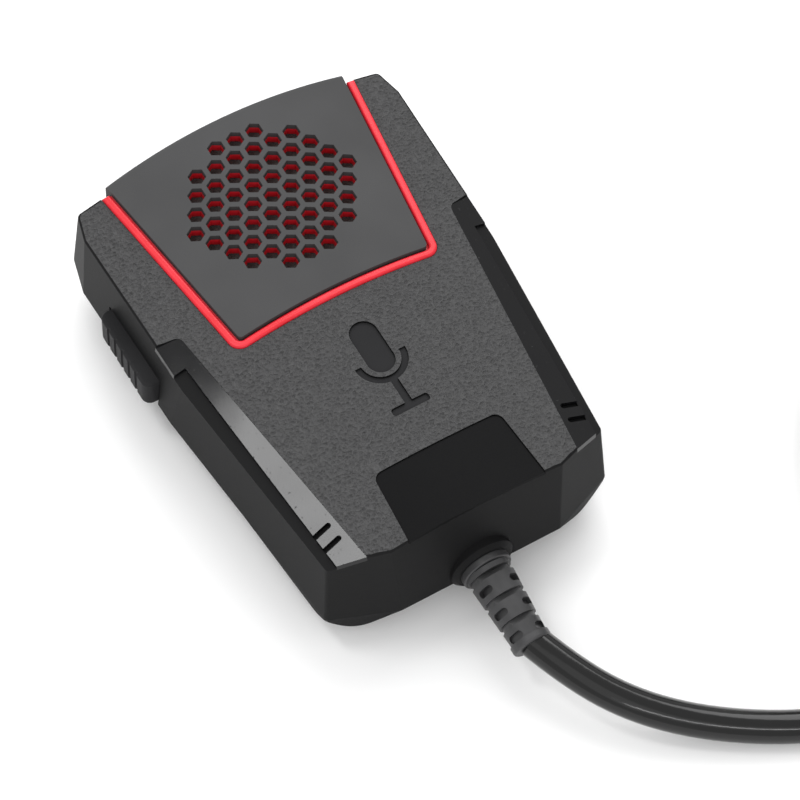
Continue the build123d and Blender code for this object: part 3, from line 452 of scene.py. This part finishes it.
# %%
LEAD_ROUTE_MM = [
    (0.5, -65.4, 9.5),
    (3.3, -72.9, 8.6),
    (9.2, -82.5, 6.7),
    (18.2, -90.9, 4.6),
    (30.0, -98.5, 3.2),
    (42.0, -104.2, 3.1),
    (57.0, -105.9, 3.1),
    (79.5, -105.7, 3.1),
]
LEAD_MM = 6.2
COIL_OUTER_MM = 34.1
COIL_CENTRE_MM = (99.8, -105.7 + COIL_OUTER_MM)
LAYERS = 4
LAST_TURN = 2 * LAYERS - 1
POINTS_PER_TURN = 24
START_TURN = -0.25
END_TURN = 4 / 360
END_RUN_MM = 43.0
PLUG_Z_MM = 9.6
END_SHARES = (0.2, 0.4, 0.6, 0.8, 1.0, 1.02)
MOVE_START, MOVE_SPAN = 0.24, 0.42
SWELL_START, SWELL_END, SWELL_EASE = 0.12, 0.69, 0.2
SWELL_MM = 2.4


def eased(value):
    """A smooth step from 0 to 1."""
    share = min(1.0, max(0.0, value))
    return share * share * (3 - 2 * share)


def slot_of(turn):
    """Which layer a whole turn lies in, and 0 for the outer lane or 1 for the inner."""
    layer, second = divmod(turn, 2)
    return layer, second if layer % 2 == 0 else 1 - second


def coil_place(turns):
    """A point on the coil: each turn moves over to the next slot, swelling where it climbs."""
    whole = min(int(turns), LAST_TURN)
    part = turns - whole
    layer, lane = slot_of(whole)
    next_layer, next_lane = slot_of(whole + 1) if whole < LAST_TURN else (layer, lane)
    share = eased((part - MOVE_START) / MOVE_SPAN)
    radius = COIL_OUTER_MM - LEAD_MM * (lane + (next_lane - lane) * share)
    if next_layer != layer:
        side = 1 if lane == 0 else -1
        growing = eased((part - SWELL_START) / SWELL_EASE)
        fading = eased((SWELL_END - part) / SWELL_EASE)
        radius += side * SWELL_MM * growing * fading
    angle = math.tau * (START_TURN + turns)
    return (COIL_CENTRE_MM[0] + radius * math.cos(angle),
            COIL_CENTRE_MM[1] + radius * math.sin(angle),
            LEAD_MM * (layer + (next_layer - layer) * share + 0.5))


def coil_route():
    """Two turns in each layer, ending on top where the lead leaves for the plug."""
    turns = LAST_TURN + END_TURN - START_TURN
    steps = int(turns * POINTS_PER_TURN)
    return [coil_place(step / POINTS_PER_TURN) for step in range(steps)] + [coil_place(turns)]


def end_route():
    """From the coil's top outer turn down to the back of the plug."""
    angle = math.tau * END_TURN
    heading = Vector((-math.sin(angle), math.cos(angle), 0))
    start = Vector((COIL_CENTRE_MM[0] + COIL_OUTER_MM * math.cos(angle),
                    COIL_CENTRE_MM[1] + COIL_OUTER_MM * math.sin(angle), LEAD_MM * (LAYERS - 0.5)))
    drop = start.z - PLUG_Z_MM
    places = []
    for share in END_SHARES:
        place = start + heading * END_RUN_MM * share
        place.z -= drop * eased(share)
        places.append(tuple(place))
    return places


def spline_through(name, points_mm, radius_mm):
    """A round tube on one smooth NURBS line with these control points."""
    data = bpy.data.curves.new(name, "CURVE")
    data.dimensions = "3D"
    line = data.splines.new("NURBS")
    line.points.add(len(points_mm) - 1)
    for point, place in zip(line.points, points_mm):
        point.co = (*(part * MM for part in place), 1.0)
    line.order_u = 3
    line.use_endpoint_u = True
    line.resolution_u = 6
    data.bevel_depth = radius_mm * MM
    data.bevel_resolution = 5
    data.use_fill_caps = True
    tube = bpy.data.objects.new(name, data)
    bpy.context.scene.collection.objects.link(tube)
    return tube


def line_length(points_mm):
    """Length of the straight runs between points, in metres."""
    places = [Vector(point) for point in points_mm]
    return sum((b - a).length for a, b in zip(places, places[1:])) * MM


lead_points = LEAD_ROUTE_MM + coil_route() + end_route()
flexible_lead = spline_through("flexible_lead", lead_points, LEAD_MM / 2)
dress(flexible_lead, JACKET)
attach(flexible_lead, "case")
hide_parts("lead", "lead_coil", "lead_end")
print("lead points:", len(lead_points), "runs:", round(line_length(lead_points), 3), "m")
